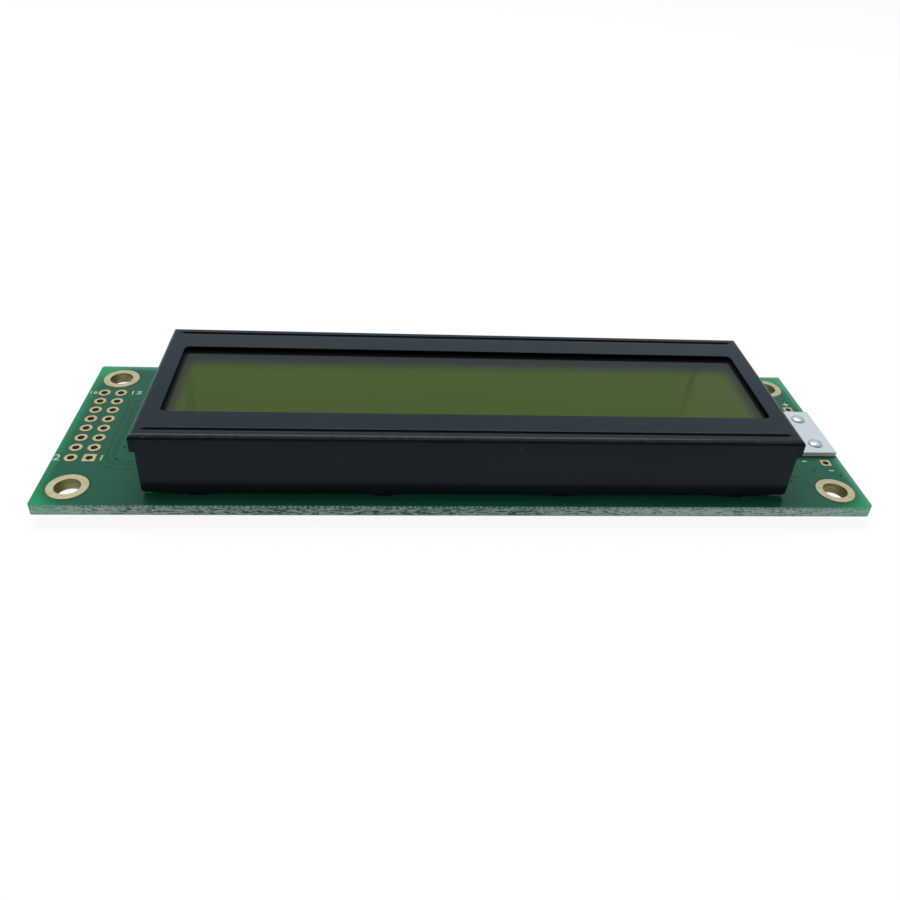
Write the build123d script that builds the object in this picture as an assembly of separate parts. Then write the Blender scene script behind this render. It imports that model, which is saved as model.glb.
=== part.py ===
from build123d import *
import os

# Character display module: a printed board that carries a liquid crystal cell
# under a stamped steel bezel, lit from behind by a box of small lamps.
# Millimetres, +Z out of the display face, +Y towards the rear long edge.
# The origin is the middle of the board's outline, level with the lowest point
# of the bezel's twisted tabs, on which the module rests.

# Printed board
board_length = 116.0
board_width = 37.0
board_thickness = 1.6
corner_radius = 0.4
front_right_corner_radius = 0.8
plating = 0.05

# Holes in the four corners of the board
mount_inset_x = 4.0
mount_inset_y = 4.0
mount_bore = 3.5
mount_ring_diameter = 5.5

# Two columns of terminal holes at the left end, between two mounting holes.
# Of the length that the columns leave free there, this share is in front.
pin_one_inset_x = 5.0
header_front_share = 0.791
header_rows = 8
header_pitch = 2.54
header_bore = 1.0
header_ring_diameter = 1.8
pin_one_ring_width = 1.75
pin_one_ring_corner = 0.12

# Numbers of flat sides that stand for round pads and small holes
small_hole_sides = 10
mount_ring_sides = 24

# Spare terminals for another lamp board, at the right end
spare_inset_x = 2.5
spare_pitch = 15.2
spare_bore = 0.9
spare_ring_width = 1.5
spare_ring_corner = 0.25

# Bezel
bezel_length = 90.85
bezel_depth = 30.5
bezel_height = 9.4
bezel_shift_x = 0.92
bezel_shift_y = -0.72
sheet = 0.6
bend_radius = 0.65
side_flange_height = 2.6
corner_slit = 0.06
wall_corner_radius = 0.5
window_length = 85.1
window_depth = 18.4
window_corner_radius = 0.8

# Pressed grooves beside the long bends
groove_width = 0.75
groove_depth = 0.35
groove_inset = 1.65
groove_end_margin = 1.2
groove_end_rise = 0.36

# Feet of the long walls, and the tabs below them
foot_count = 4
foot_pitch = 25.0
foot_width = 5.5
foot_height = 0.35
tab_width = 2.2
tab_drop = 1.6
tab_twist = 38.0
slot_clearance = 0.2

# Display cell
glass_thickness = 1.1
glass_clearance = 0.3
film_thickness = 0.25
film_overlap = 1.2

# Rubber contact strips that stand on the board and carry the upper glass
strip_thickness = 2.0
strip_length = 84.5
strip_edge_margin = 0.15
strip_clearance = 0.3
contact_count = 36
contact_pitch = 2.3
contact_width = 1.4
contact_overhang = 0.1

# Lamp box, its board and its lamps
lamp_board_thickness = 0.7
lamp_tab_width = 11.7
lamp_tab_inset = 0.2
box_rim = 1.2
diffuser_thickness = 0.5
diffuser_clearance = 0.1
cavity_columns = 14
cavity_rows = 2
cavity_web = 0.8
cavity_floor_margin = 0.6
lamp_size = 1.0
lamp_height = 0.6

# Lamp terminals at the right end
terminal_inset_x = 2.65
terminal_pitch = 6.95
terminal_bore = 1.0
terminal_pin = 0.6
terminal_ring_diameter = 1.9
terminal_pin_rise = 0.2
terminal_pin_drop = 0.5
upper_solder_diameter = 2.25
upper_solder_height = 0.45
lower_solder_height = 0.85

# Form of a heap of solder or resin: a steep foot, a slope and a flat crown
heap_foot_share = 0.6
heap_slope_diameter_share = 0.84
heap_crown_diameter_share = 0.52

# Resin caps over the chips on the underside
cap_height = 1.25
controller_cap_diameter = 15.0
driver_cap_diameter = 12.5
controller_cap_gap = 13.0
driver_cap_pitch = 27.0

# Chip resistors and capacitors on the underside
chip_length = 2.0
chip_width = 1.25
resistor_height = 0.5
capacitor_height = 0.85
chip_end = 0.4
chip_solder = 0.45
chip_solder_height_share = 0.75
capacitor_gap = 6.5
capacitor_pitch = 9.0
bias_resistor_count = 5
bias_resistor_gap = 6.5
bias_resistor_pitch = 3.0
clock_resistor_gap = 3.0
lamp_resistor_gap = 6.85
lamp_resistor_pitch = 4.0

# Levels and places worked out from the sizes above
board_bottom = tab_drop
board_top = board_bottom + board_thickness
inner_length = bezel_length - 2 * sheet
inner_depth = bezel_depth - 2 * sheet
glass_length = inner_length - 2 * glass_clearance
glass_depth = inner_depth - 2 * glass_clearance
upper_glass_top = board_top + bezel_height - sheet - film_thickness
upper_glass_bottom = upper_glass_top - glass_thickness
lower_glass_bottom = upper_glass_bottom - glass_thickness
diffuser_top = lower_glass_bottom - film_thickness
diffuser_bottom = diffuser_top - diffuser_thickness
lamp_board_bottom = board_top + plating
lamp_board_top = lamp_board_bottom + lamp_board_thickness
strip_y = glass_depth / 2 - strip_edge_margin - strip_thickness / 2
box_length = glass_length
box_depth = 2 * (strip_y - strip_thickness / 2 - strip_clearance)
recess_length = box_length - 2 * box_rim
recess_depth = box_depth - 2 * box_rim
cavity_pitch_x = recess_length / cavity_columns
cavity_pitch_y = recess_depth / cavity_rows
tab_y = bezel_depth / 2 - sheet / 2
mount_x = board_length / 2 - mount_inset_x
mount_y = board_width / 2 - mount_inset_y
header_x = -board_length / 2 + pin_one_inset_x
header_length = (header_rows - 1) * header_pitch
header_space = 2 * mount_y - mount_ring_diameter - header_ring_diameter - header_length
header_y = -mount_y + (mount_ring_diameter + header_ring_diameter) / 2 + header_front_share * header_space
terminal_x = board_length / 2 - terminal_inset_x
spare_x = board_length / 2 - spare_inset_x
capacitor_x = header_x + capacitor_gap
bias_resistor_x = capacitor_x + bias_resistor_gap
controller_cap_x = bias_resistor_x + controller_cap_gap
lamp_resistor_x = terminal_x - lamp_resistor_gap
clock_resistor_y = bezel_shift_y + controller_cap_diameter / 2 + clock_resistor_gap

display = Pos(bezel_shift_x, bezel_shift_y)


def slab(outline, bottom, top):
    """A flat plate of the given outline between two levels."""
    return Pos(0, 0, bottom) * extrude(outline, top - bottom)


def centred_row(count, pitch):
    """Places of a row of equal steps about zero."""
    return [(index - (count - 1) / 2) * pitch for index in range(count)]


def mount_places():
    return [(x, y) for x in (-mount_x, mount_x) for y in (-mount_y, mount_y)]


def header_places():
    """Terminal holes by number: the first is in the column beside the bezel."""
    places = []
    for row in range(header_rows):
        places.append((header_x, header_y + row * header_pitch))
        places.append((header_x - header_pitch, header_y + row * header_pitch))
    return places


def small_round(diameter):
    """Outline of a small hole or ring."""
    return RegularPolygon(diameter / 2, small_hole_sides)


def tab_places():
    """Middles of the bezel's tabs, in the display's own frame."""
    return [(x, y) for x in centred_row(foot_count, foot_pitch) for y in (-tab_y, tab_y)]


def ring_through_board(pad, bore, barrel):
    """Copper that lines a hole, with a pad of the given outline on both faces."""
    pads = slab(pad, board_bottom - plating, board_bottom) + slab(pad, board_top, board_top + plating)
    hole = slab(bore, board_bottom - plating, board_top + plating)
    return pads + slab(barrel, board_bottom, board_top) - hole


def square_pad(width, corner):
    """Outline of a square pad without its sharp corners."""
    outline = Rectangle(width, width)
    return chamfer(outline.vertices(), corner)


def small_ring(pad, bore):
    return ring_through_board(pad, small_round(bore), small_round(bore + 2 * plating))


def mount_ring():
    bore = mount_bore / 2
    pad = RegularPolygon(mount_ring_diameter / 2, mount_ring_sides)
    return ring_through_board(pad, Circle(bore), Circle(bore + plating))


def dome(diameter, height):
    """A shallow round heap of the given height on the level zero."""
    radius = diameter / 2
    shoulder = (heap_slope_diameter_share * radius, heap_foot_share * height)
    crown = (heap_crown_diameter_share * radius, height)
    profile = Polyline((0, 0), (radius, 0), shoulder, crown, (0, height), close=True)
    return revolve(Plane.XZ * make_face(profile), Axis.Z)


def make_main_board():
    outline = Rectangle(board_length, board_width)
    rear_corners = outline.vertices().group_by(Axis.Y)[-1]
    outline = fillet(rear_corners, corner_radius)
    front_left = outline.vertices().group_by(Axis.Y)[0].sort_by(Axis.X)[0]
    outline = fillet(front_left, corner_radius)
    front_right = outline.vertices().group_by(Axis.Y)[0].sort_by(Axis.X)[-1]
    outline = fillet(front_right, front_right_corner_radius)
    cuts = [Pos(x, y) * Circle(mount_bore / 2 + plating) for x, y in mount_places()]
    cuts += [Pos(x, y) * small_round(header_bore + 2 * plating) for x, y in header_places()]
    for side in (-1, 1):
        cuts.append(Pos(spare_x, side * spare_pitch / 2) * small_round(spare_bore + 2 * plating))
        cuts.append(Pos(terminal_x, side * terminal_pitch / 2) * small_round(terminal_bore + 2 * plating))
    slot = Rectangle(tab_width + 2 * slot_clearance, sheet + 2 * slot_clearance)
    cuts += [display * Pos(x, y) * slot for x, y in tab_places()]
    return slab(outline, board_bottom, board_top) - slab(Sketch() + cuts, board_bottom, board_top)


def make_bezel():
    """Stamped steel cover in the display's own frame, standing on level zero."""
    plate = bezel_height - sheet
    outer = extrude(Rectangle(bezel_length, bezel_depth), bezel_height)
    outer = fillet(outer.edges().group_by(Axis.Z)[-1], bend_radius)
    inner = extrude(Rectangle(inner_length, inner_depth), plate)
    inner = fillet(inner.edges().group_by(Axis.Z)[-1], bend_radius - sheet)

    wall_length = inner_length - 2 * corner_slit
    flange_bottom = bezel_height - side_flange_height
    flanges = Pos(0, flange_bottom) * Rectangle(bezel_length, side_flange_height, align=(Align.CENTER, Align.MIN))
    wall = Pos(0, foot_height) * Rectangle(
        wall_length, flange_bottom - foot_height, align=(Align.CENTER, Align.MIN)
    )
    wall = fillet(wall.vertices().group_by(Axis.Y)[0], wall_corner_radius)
    feet = [
        Pos(x, 0) * Rectangle(foot_width, foot_height, align=(Align.CENTER, Align.MIN))
        for x in centred_row(foot_count, foot_pitch)
    ]
    elevation = extrude(Plane.XZ * (flanges + wall + feet), bezel_depth, both=True)
    window = RectangleRounded(window_length, window_depth, window_corner_radius)
    cover = (outer - inner) & elevation
    cover -= Pos(0, 0, plate) * extrude(window, sheet)

    slit = Box(corner_slit, 2 * sheet, side_flange_height - bend_radius, align=(Align.MAX, Align.CENTER, Align.MIN))
    for side in (0, 180):
        for y in (-tab_y, tab_y):
            cover -= Rot(0, 0, side) * Pos(inner_length / 2, y, flange_bottom) * slit

    groove = make_groove()
    for y in (-1, 1):
        cover -= Pos(0, y * (bezel_depth / 2 - groove_inset), bezel_height) * groove
    for x, y in tab_places():
        cover += Pos(x, y) * make_tab()
    return display * Pos(0, 0, board_top) * cover


def make_groove():
    """Round-bottomed groove that runs out at both ends, along X just below level zero."""
    radius = ((groove_width / 2) ** 2 + groove_depth ** 2) / (2 * groove_depth)
    end_radius = radius - groove_end_rise
    middle = bezel_length - 2 * groove_end_margin - 2 * groove_width
    rod = Rot(0, 90, 0) * Cylinder(radius, middle)
    for turn in (90, -90):
        end = Pos(0, 0, middle / 2) * Cone(
            radius, end_radius, groove_width, align=(Align.CENTER, Align.CENTER, Align.MIN)
        )
        rod += Rot(0, turn, 0) * end
    return Pos(0, 0, radius - groove_depth) * rod


def make_tab():
    """Tab through the board, its head twisted below it so that it can't pull out."""
    section = Rectangle(tab_width, sheet)
    neck = slab(section, -board_thickness, 0)
    head = slab(Rot(0, 0, tab_twist) * section, -board_thickness - tab_drop, -board_thickness)
    return neck + head


def make_glass(depth, bottom):
    return display * slab(Rectangle(glass_length, depth), bottom, bottom + glass_thickness)


def make_front_polarizer():
    outline = Rectangle(window_length + 2 * film_overlap, window_depth + 2 * film_overlap)
    return display * slab(outline, upper_glass_top, upper_glass_top + film_thickness)


def make_sheet_in_box(bottom, thickness):
    """A film that lies in the lamp box's recess."""
    outline = Rectangle(recess_length - 2 * diffuser_clearance, recess_depth - 2 * diffuser_clearance)
    return display * slab(outline, bottom, bottom + thickness)


def make_strip(side):
    outline = Rectangle(strip_length, strip_thickness)
    return display * Pos(0, side * strip_y) * slab(outline, board_top + plating, upper_glass_bottom)


def make_contacts(side):
    """Row of copper fingers under one contact strip."""
    outline = Rectangle(contact_width, strip_thickness + 2 * contact_overhang)
    finger = slab(outline, board_top, board_top + plating)
    row = [display * Pos(x, side * strip_y) * finger for x in centred_row(contact_count, contact_pitch)]
    return Compound(children=row)


def cavity_places():
    rows = centred_row(cavity_rows, cavity_pitch_y)
    return [[(x, y) for x in centred_row(cavity_columns, cavity_pitch_x)] for y in rows]


def make_lamp_box():
    """White moulding with one tapered reflector for each lamp."""
    box = slab(Rectangle(box_length, box_depth), lamp_board_top, lower_glass_bottom)
    box -= slab(Rectangle(recess_length, recess_depth), diffuser_bottom, lower_glass_bottom)
    mouth_x = cavity_pitch_x - cavity_web
    mouth_y = cavity_pitch_y - cavity_web
    floor = lamp_size + 2 * cavity_floor_margin
    left = (mouth_x - floor) / 2
    front = (mouth_y - floor) / 2
    depth = diffuser_bottom - lamp_board_top
    cavity = Wedge(mouth_x, depth, mouth_y, left, front, left + floor, front + floor)
    cavity = Pos(0, 0, (diffuser_bottom + lamp_board_top) / 2) * Rot(-90, 0, 0) * cavity
    for row in cavity_places():
        box -= [Pos(x, y) * cavity for x, y in row]
    return display * box


def make_lamp_board():
    """Thin white board under the lamp box, with a tab that reaches the right edge."""
    right_end = board_length / 2 - lamp_tab_inset
    body = display * Rectangle(box_length, box_depth)
    tab = Pos(right_end, 0) * Rectangle(
        right_end - bezel_shift_x, lamp_tab_width, align=(Align.MAX, Align.CENTER)
    )
    holes = [Pos(terminal_x, side * terminal_pitch / 2) * small_round(terminal_bore) for side in (-1, 1)]
    return slab(body + tab - holes, lamp_board_bottom, lamp_board_top)


def make_lamps(row):
    die = slab(Rectangle(lamp_size, lamp_size), lamp_board_top, lamp_board_top + lamp_height)
    return Compound(children=[display * Pos(x, y) * die for x, y in cavity_places()[row]])


def make_terminal_pin():
    section = Rectangle(terminal_pin, terminal_pin)
    return slab(section, board_bottom - terminal_pin_drop, lamp_board_top + terminal_pin_rise)


def make_terminal_solder():
    """Solder heaps over both ends of a lamp terminal."""
    upper = Pos(0, 0, lamp_board_top) * dome(upper_solder_diameter, upper_solder_height)
    lower = Pos(0, 0, board_bottom - plating) * Rot(180, 0, 0) * dome(terminal_ring_diameter, lower_solder_height)
    pin = make_terminal_pin()
    return Compound(children=[upper - pin, lower - pin])


def make_cap(x, diameter):
    return Pos(x, bezel_shift_y, board_bottom) * Rot(180, 0, 0) * dome(diameter, cap_height)


def make_chip(x, y, height):
    """Chip part along X on the underside: body, metal ends and solder fillets."""
    middle = chip_length - 2 * chip_end
    body = extrude(Rectangle(middle, chip_width), height)
    reach = chip_length / 2 + chip_solder
    end = Polyline(
        (middle / 2, 0),
        (reach, 0),
        (chip_length / 2, height * chip_solder_height_share),
        (chip_length / 2, height),
        (middle / 2, height),
        close=True,
    )
    end = extrude(Plane.XZ * make_face(end), chip_width / 2, both=True)
    place = Pos(x, y, board_bottom) * Rot(180, 0, 0)
    return [place * body, place * end, place * Rot(0, 0, 180) * end]


def make_chip_column(x, y, count, pitch, height):
    solids = []
    for step in centred_row(count, pitch):
        solids += make_chip(x, y + step, height)
    return Compound(children=solids)


def make_nodes():
    header_ring = small_ring(small_round(header_ring_diameter), header_bore)
    terminal_ring = small_ring(small_round(terminal_ring_diameter), terminal_bore)
    pin_one_ring = small_ring(square_pad(pin_one_ring_width, pin_one_ring_corner), header_bore)
    spare_ring = small_ring(square_pad(spare_ring_width, spare_ring_corner), spare_bore)
    first, others = header_places()[0], header_places()[1:]

    nodes = {
        "main_board": make_main_board(),
        "bezel": make_bezel(),
        "front_polarizer": make_front_polarizer(),
        "upper_glass": make_glass(glass_depth, upper_glass_bottom),
        "lower_glass": make_glass(box_depth, lower_glass_bottom),
        "rear_polarizer": make_sheet_in_box(diffuser_top, film_thickness),
        "diffuser": make_sheet_in_box(diffuser_bottom, diffuser_thickness),
        "front_contact_strip": make_strip(-1),
        "rear_contact_strip": make_strip(1),
        "front_contact_fingers": make_contacts(-1),
        "rear_contact_fingers": make_contacts(1),
        "lamp_box": make_lamp_box(),
        "lamp_board": make_lamp_board(),
        "front_lamps": make_lamps(0),
        "rear_lamps": make_lamps(1),
        "pin_one_ring": Pos(*first) * pin_one_ring,
        "header_rings": Compound(children=[Pos(x, y) * header_ring for x, y in others]),
        "controller_cap": make_cap(controller_cap_x, controller_cap_diameter),
        "left_driver_cap": make_cap(controller_cap_x + driver_cap_pitch, driver_cap_diameter),
        "right_driver_cap": make_cap(controller_cap_x + 2 * driver_cap_pitch, driver_cap_diameter),
        "clock_resistor": make_chip_column(controller_cap_x, clock_resistor_y, 1, 0, resistor_height),
        "bias_resistors": make_chip_column(
            bias_resistor_x, 0, bias_resistor_count, bias_resistor_pitch, resistor_height
        ),
        "lamp_resistors": make_chip_column(lamp_resistor_x, 0, 2, lamp_resistor_pitch, resistor_height),
        "supply_capacitors": make_chip_column(capacitor_x, 0, 2, capacitor_pitch, capacitor_height),
    }
    for x, across in ((-mount_x, "left"), (mount_x, "right")):
        for y, along in ((-mount_y, "front"), (mount_y, "rear")):
            nodes[f"mount_ring_{along}_{across}"] = Pos(x, y) * mount_ring()
    for side, pole in ((-1, "cathode"), (1, "anode")):
        place = Pos(terminal_x, side * terminal_pitch / 2)
        nodes[f"spare_{pole}_ring"] = Pos(spare_x, side * spare_pitch / 2) * spare_ring
        nodes[f"{pole}_ring"] = place * terminal_ring
        nodes[f"{pole}_pin"] = place * make_terminal_pin()
        nodes[f"{pole}_solder"] = place * make_terminal_solder()
    return nodes


os.makedirs("parts", exist_ok=True)
for name, shape in make_nodes().items():
    export_step(shape, f"parts/{name}.step")
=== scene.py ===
# %% [markdown]
# # A character display module
#
# The object is a small display as it is sold to people who build machines: a long green printed board, a
# black stamped steel bezel over the display glass, two columns of terminal holes at the left end, a
# mounting hole in each corner, and the white end of the lamp board at the right.
#
# The solids come from the CAD model and stay where they are. What is made here is what a CAD model doesn't
# hold: paint, solder mask, glass fibre, gold, printed marks and small round forms that need many faces.

# %% Load the solids
import math

import bmesh
import bpy
from mathutils import Matrix, Vector


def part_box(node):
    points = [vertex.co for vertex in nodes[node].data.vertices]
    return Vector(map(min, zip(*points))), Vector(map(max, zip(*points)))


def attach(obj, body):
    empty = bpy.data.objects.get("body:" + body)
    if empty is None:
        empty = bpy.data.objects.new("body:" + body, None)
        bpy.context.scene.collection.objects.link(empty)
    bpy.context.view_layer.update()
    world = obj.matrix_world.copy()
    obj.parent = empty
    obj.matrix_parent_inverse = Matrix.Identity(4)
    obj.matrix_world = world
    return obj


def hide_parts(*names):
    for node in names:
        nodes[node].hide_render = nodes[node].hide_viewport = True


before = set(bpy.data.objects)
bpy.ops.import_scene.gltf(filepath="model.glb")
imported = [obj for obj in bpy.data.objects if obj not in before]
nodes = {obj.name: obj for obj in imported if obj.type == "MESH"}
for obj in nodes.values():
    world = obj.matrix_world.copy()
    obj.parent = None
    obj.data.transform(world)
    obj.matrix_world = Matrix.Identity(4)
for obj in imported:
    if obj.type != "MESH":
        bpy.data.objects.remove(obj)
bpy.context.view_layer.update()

MM = 0.001


def put(name, data):
    """New object in the scene, at the origin."""
    thing = bpy.data.objects.new(name, data)
    bpy.context.scene.collection.objects.link(thing)
    return thing


# %% [markdown]
# ## The camera
#
# The photograph is taken from in front of the long edge and from well above it, from about 13 cm away, so
# the near edge looks much longer than the far one. The place and the angles were found from points whose
# real places are known: the terminal holes, the mounting holes and the corners. A camera starts looking
# straight down, so it is tipped up about X, turned about Z, and rolled about its own line of sight.

# %% Camera
camera_place = Vector((-11.352, -110.503, 76.236)) * MM
camera_tilt_down = math.radians(34.856)
camera_turn = math.radians(-6.059)
camera_roll = math.radians(3.955)

camera_data = bpy.data.cameras.new("camera")
camera_data.lens = 34.528
camera_data.sensor_width = 36
camera_data.shift_x = -0.0113
camera_data.shift_y = 0.0054
camera_data.clip_start = 0.01
camera_data.clip_end = 20
camera = put("camera", camera_data)
turn = Matrix.Rotation(camera_turn, 4, "Z")
tip = Matrix.Rotation(math.pi / 2 - camera_tilt_down, 4, "X")
roll = Matrix.Rotation(camera_roll, 4, "Z")
camera.matrix_world = Matrix.Translation(camera_place) @ turn @ tip @ roll
bpy.context.scene.camera = camera
bpy.context.scene.view_settings.view_transform = "Standard"
print("camera is", round(camera_place.length, 3), "m from the middle of the board")

# %% [markdown]
# ## Helpers for finishes
#
# Every finish is a small network of nodes, and a few helpers keep the cells short. One starts a material
# and returns its tree and its shader. Another adds a node and fills its inputs with numbers or with links,
# whichever is given. The others build on it: sums, distances, shares from 0 to 1, and colours laid over
# each other by such a share.

# %% Material helpers
def start_finish(name, roughness, gloss, metallic=0.0):
    """New material with these constants on its shader, and its tree and shader."""
    material = bpy.data.materials.new(name)
    material.use_nodes = True
    tree = material.node_tree
    shader = tree.nodes["Principled BSDF"]
    shader.inputs["Roughness"].default_value = roughness
    shader.inputs["Specular IOR Level"].default_value = gloss
    shader.inputs["Metallic"].default_value = metallic
    return material, tree, shader


def fill(tree, node, inputs):
    """Sets inputs of a node to values, or links them to outputs of others."""
    for socket, value in inputs.items():
        if isinstance(value, bpy.types.NodeSocket):
            tree.links.new(value, node.inputs[socket])
        else:
            node.inputs[socket].default_value = value


def add(tree, kind, inputs, **settings):
    """Adds a node of this kind with its inputs and settings, and returns its outputs."""
    node = tree.nodes.new("ShaderNode" + kind)
    for setting, value in settings.items():
        setattr(node, setting, value)
    fill(tree, node, inputs)
    return node.outputs


def calc(tree, operation, *values):
    """Result of a sum of one, two or three values."""
    return add(tree, "Math", dict(enumerate(values)), operation=operation)[0]


def apart(tree, first, second):
    """Distance between two values on a line."""
    return calc(tree, "ABSOLUTE", calc(tree, "SUBTRACT", first, second))


def slant(tree, first, second):
    """Length of the slant that belongs to two distances at right angles."""
    second_squared = calc(tree, "MULTIPLY", second, second)
    return calc(tree, "SQRT", calc(tree, "MULTIPLY_ADD", first, first, second_squared))


def blend(tree, share, first, second):
    """Colour between two colours, by a share from 0 to 1."""
    return add(tree, "Mix", {0: share, 6: first, 7: second}, data_type="RGBA")[2]


def tint(tree, base, colour, share, strength):
    """Lays a colour over another by a share times a strength."""
    return blend(tree, calc(tree, "MULTIPLY", share, strength), base, colour)


def between(tree, value, low, high):
    """Share that climbs smoothly from 0 to 1 while the value goes from low to high.

    Where high is the lower of the two, it climbs while the value falls.
    """
    inputs = {"Value": value, "From Min": low, "From Max": high, "To Min": 0.0, "To Max": 1.0}
    return add(tree, "MapRange", inputs, interpolation_type="SMOOTHSTEP")["Result"]


def rgb(red, green, blue):
    """Colour of a paint chip that a screen shows with these values of 0 to 255, as the shader wants it."""
    channels = [c / 255 for c in (red, green, blue)]
    return tuple(c / 12.92 if c < 0.04045 else ((c + 0.055) / 1.055) ** 2.4 for c in channels) + (1.0,)


def place_on(tree):
    """Object coordinates in millimetres, whole and in their three parts."""
    point = add(tree, "TexCoord", {})["Object"]
    in_mm = add(tree, "VectorMath", {0: point, "Scale": 1 / MM}, operation="SCALE")[0]
    parts = add(tree, "SeparateXYZ", {0: in_mm})
    return in_mm, parts["X"], parts["Y"], parts["Z"]


def noise(tree, vector, per_mm, detail=2.0, rough=0.5):
    """Cloudy pattern of values about 0.5."""
    inputs = {"Vector": vector, "Scale": per_mm, "Detail": detail, "Roughness": rough}
    return add(tree, "TexNoise", inputs)["Fac"]


def raise_surface(tree, shader, height, depth_mm):
    """Fine relief, as deep as this where the height is 1."""
    inputs = {"Height": height, "Distance": depth_mm * MM, "Strength": 1.0}
    fill(tree, shader, {"Normal": add(tree, "Bump", inputs)["Normal"]})


print("helpers ready")

# %% [markdown]
# ## Floor, air and light
#
# The photograph has a plain white ground. The floor is a pale sheet that the lens sees almost white by its
# own faint glow, so that the soft shadow under the board stays. The air does the same: it is white for the
# lens, cool and pale for reflections, and dimmer as a source of light. One wide soft lamp hangs above and
# behind the object, so the front wall of the bezel and the strip of board before it lie in soft shade. A
# black card leans up from the floor in front, where only reflections see it. It draws the dark line along
# the front bend, as it would in a studio.

# %% Floor
def seen_share(tree, in_reflections):
    """1 for rays from the lens and for refracted rays, the given share for reflected ones, otherwise 0."""
    path = add(tree, "LightPath", {})
    reflected = calc(tree, "MULTIPLY", path["Is Glossy Ray"], in_reflections)
    seen = calc(tree, "MAXIMUM", path["Is Camera Ray"], reflected)
    return calc(tree, "MAXIMUM", seen, path["Is Transmission Ray"])


def sheet_of(name, corners):
    """Flat stage piece through four corners, in metres."""
    mesh = bmesh.new()
    bmesh.ops.create_grid(mesh, x_segments=1, y_segments=1, size=1)
    for vert in mesh.verts:
        vert.co = corners[int(vert.co.x > 0) + 2 * int(vert.co.y > 0)]
    data = bpy.data.meshes.new(name)
    mesh.to_mesh(data)
    mesh.free()
    sheet = put(name, data)
    return sheet


floor_half, floor_glow, floor_share, floor_mirrored = 3.0, 1.12, 0.82, 0.46
ends = (-floor_half, floor_half)
floor = sheet_of("floor", [Vector((x, y, 0)) for y in ends for x in ends])
floor_paint = bpy.data.materials.new("floor_paint")
floor_paint.use_nodes = True
floor_tree = floor_paint.node_tree
floor_tree.nodes.remove(floor_tree.nodes["Principled BSDF"])
matt = add(floor_tree, "BsdfDiffuse", {"Color": (0.6, 0.6, 0.6, 1)})[0]
in_reflection = add(floor_tree, "LightPath", {})["Is Glossy Ray"]
glow_colour = blend(floor_tree, in_reflection, (1, 1, 1, 1), (0.76, 0.88, 1, 1))
glow = add(floor_tree, "Emission", {"Color": glow_colour, "Strength": floor_glow})[0]
glow_share = calc(floor_tree, "MULTIPLY", seen_share(floor_tree, floor_mirrored), floor_share)
floor_look = add(floor_tree, "MixShader", {0: glow_share, 1: matt, 2: glow})[0]
fill(floor_tree, floor_tree.nodes["Material Output"], {"Surface": floor_look})
floor.data.materials.append(floor_paint)
print("floor of", 2 * floor_half, "m")

# %% Black card for reflections
card_near, card_far, card_foot, card_rise, card_half = -0.034, -0.30, 0.001, 0.23, 0.4
card = sheet_of("black_card", [Vector((x, y, z)) for y, z in ((card_near, card_foot), (card_far, card_rise))
                               for x in (-card_half, card_half)])
card_cloth = bpy.data.materials.new("black_cloth")
card_cloth.use_nodes = True
cloth_inputs = card_cloth.node_tree.nodes["Principled BSDF"].inputs
cloth_inputs["Base Color"].default_value = (0.004, 0.004, 0.005, 1)
cloth_inputs["Specular IOR Level"].default_value = 0.0
card.data.materials.append(card_cloth)
for ray in ("camera", "diffuse", "shadow", "transmission"):
    setattr(card, "visible_" + ray, False)
print("card starts", -card_near, "m in front of the board's middle")

# %% Air and lamp
world = bpy.data.worlds.new("air")
world.use_nodes = True
bpy.context.scene.world = world
air_tree = world.node_tree
air_tree.nodes.remove(air_tree.nodes["Background"])
dim_air = add(air_tree, "Background", {"Color": (0.97, 0.99, 1, 1), "Strength": 0.28})[0]
cool_air = add(air_tree, "Background", {"Color": (0.69, 0.86, 1, 1), "Strength": 0.85})[0]
white_air = add(air_tree, "Background", {"Color": (1, 1, 1, 1), "Strength": 1.0})[0]
path = add(air_tree, "LightPath", {})
air = add(air_tree, "MixShader", {0: path["Is Glossy Ray"], 1: dim_air, 2: cool_air})[0]
air = add(air_tree, "MixShader", {0: seen_share(air_tree, 0.0), 1: air, 2: white_air})[0]
fill(air_tree, air_tree.nodes["World Output"], {"Surface": air})

lamp_data = bpy.data.lights.new("soft_lamp", "AREA")
lamp_data.shape = "RECTANGLE"
lamp_data.size = 0.6
lamp_data.size_y = 0.3
lamp_data.energy = 2.75
soft_lamp = put("soft_lamp", lamp_data)
lamp_place = Vector((-0.03, 0.2, 0.58))
aim = (Vector((0, 0, 0)) - lamp_place).to_track_quat("-Z", "Y").to_matrix().to_4x4()
soft_lamp.matrix_world = Matrix.Translation(lamp_place) @ aim
print("lamp at", [round(c, 2) for c in lamp_place])

# %% [markdown]
# ## The board's green mask and its rough edge
#
# The board is glass fibre in resin, covered with a glossy green lacquer. Where copper lies under the
# lacquer it is dark, and near the outline, where no copper is, light comes through the fibre, so the green
# there is painted bright as painted light. The long front edge was snapped from a larger panel, so it is
# rough and shows pale fibres. One material does both: the surface normal tells the flat faces from the
# edge. The lacquer is thin and pale along the right and rear edges and darker on the inner side of each
# mounting hole. Along the tongue of the lamp board it is darkened by a painted shade, where little light
# gets in.

# %% Board finish
board_low, board_high = (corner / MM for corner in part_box("main_board"))
hole_reach_x, hole_reach_y = 54.0, 14.5
mount_pad_radius = 2.75
tongue_reach = 5.85


def upright_share(tree):
    """1 on faces that look up or down, 0 on faces that stand on end."""
    up = add(tree, "SeparateXYZ", {0: add(tree, "NewGeometry", {})["Normal"]})["Z"]
    return between(tree, calc(tree, "ABSOLUTE", up), 0.4, 0.6)


def scattered(tree, point, per_mm, reach):
    """1 on small round grains strewn over the surface, otherwise 0."""
    grain = add(tree, "TexVoronoi", {"Vector": point, "Scale": per_mm}, feature="F1")["Distance"]
    return calc(tree, "LESS_THAN", grain, reach)


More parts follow.
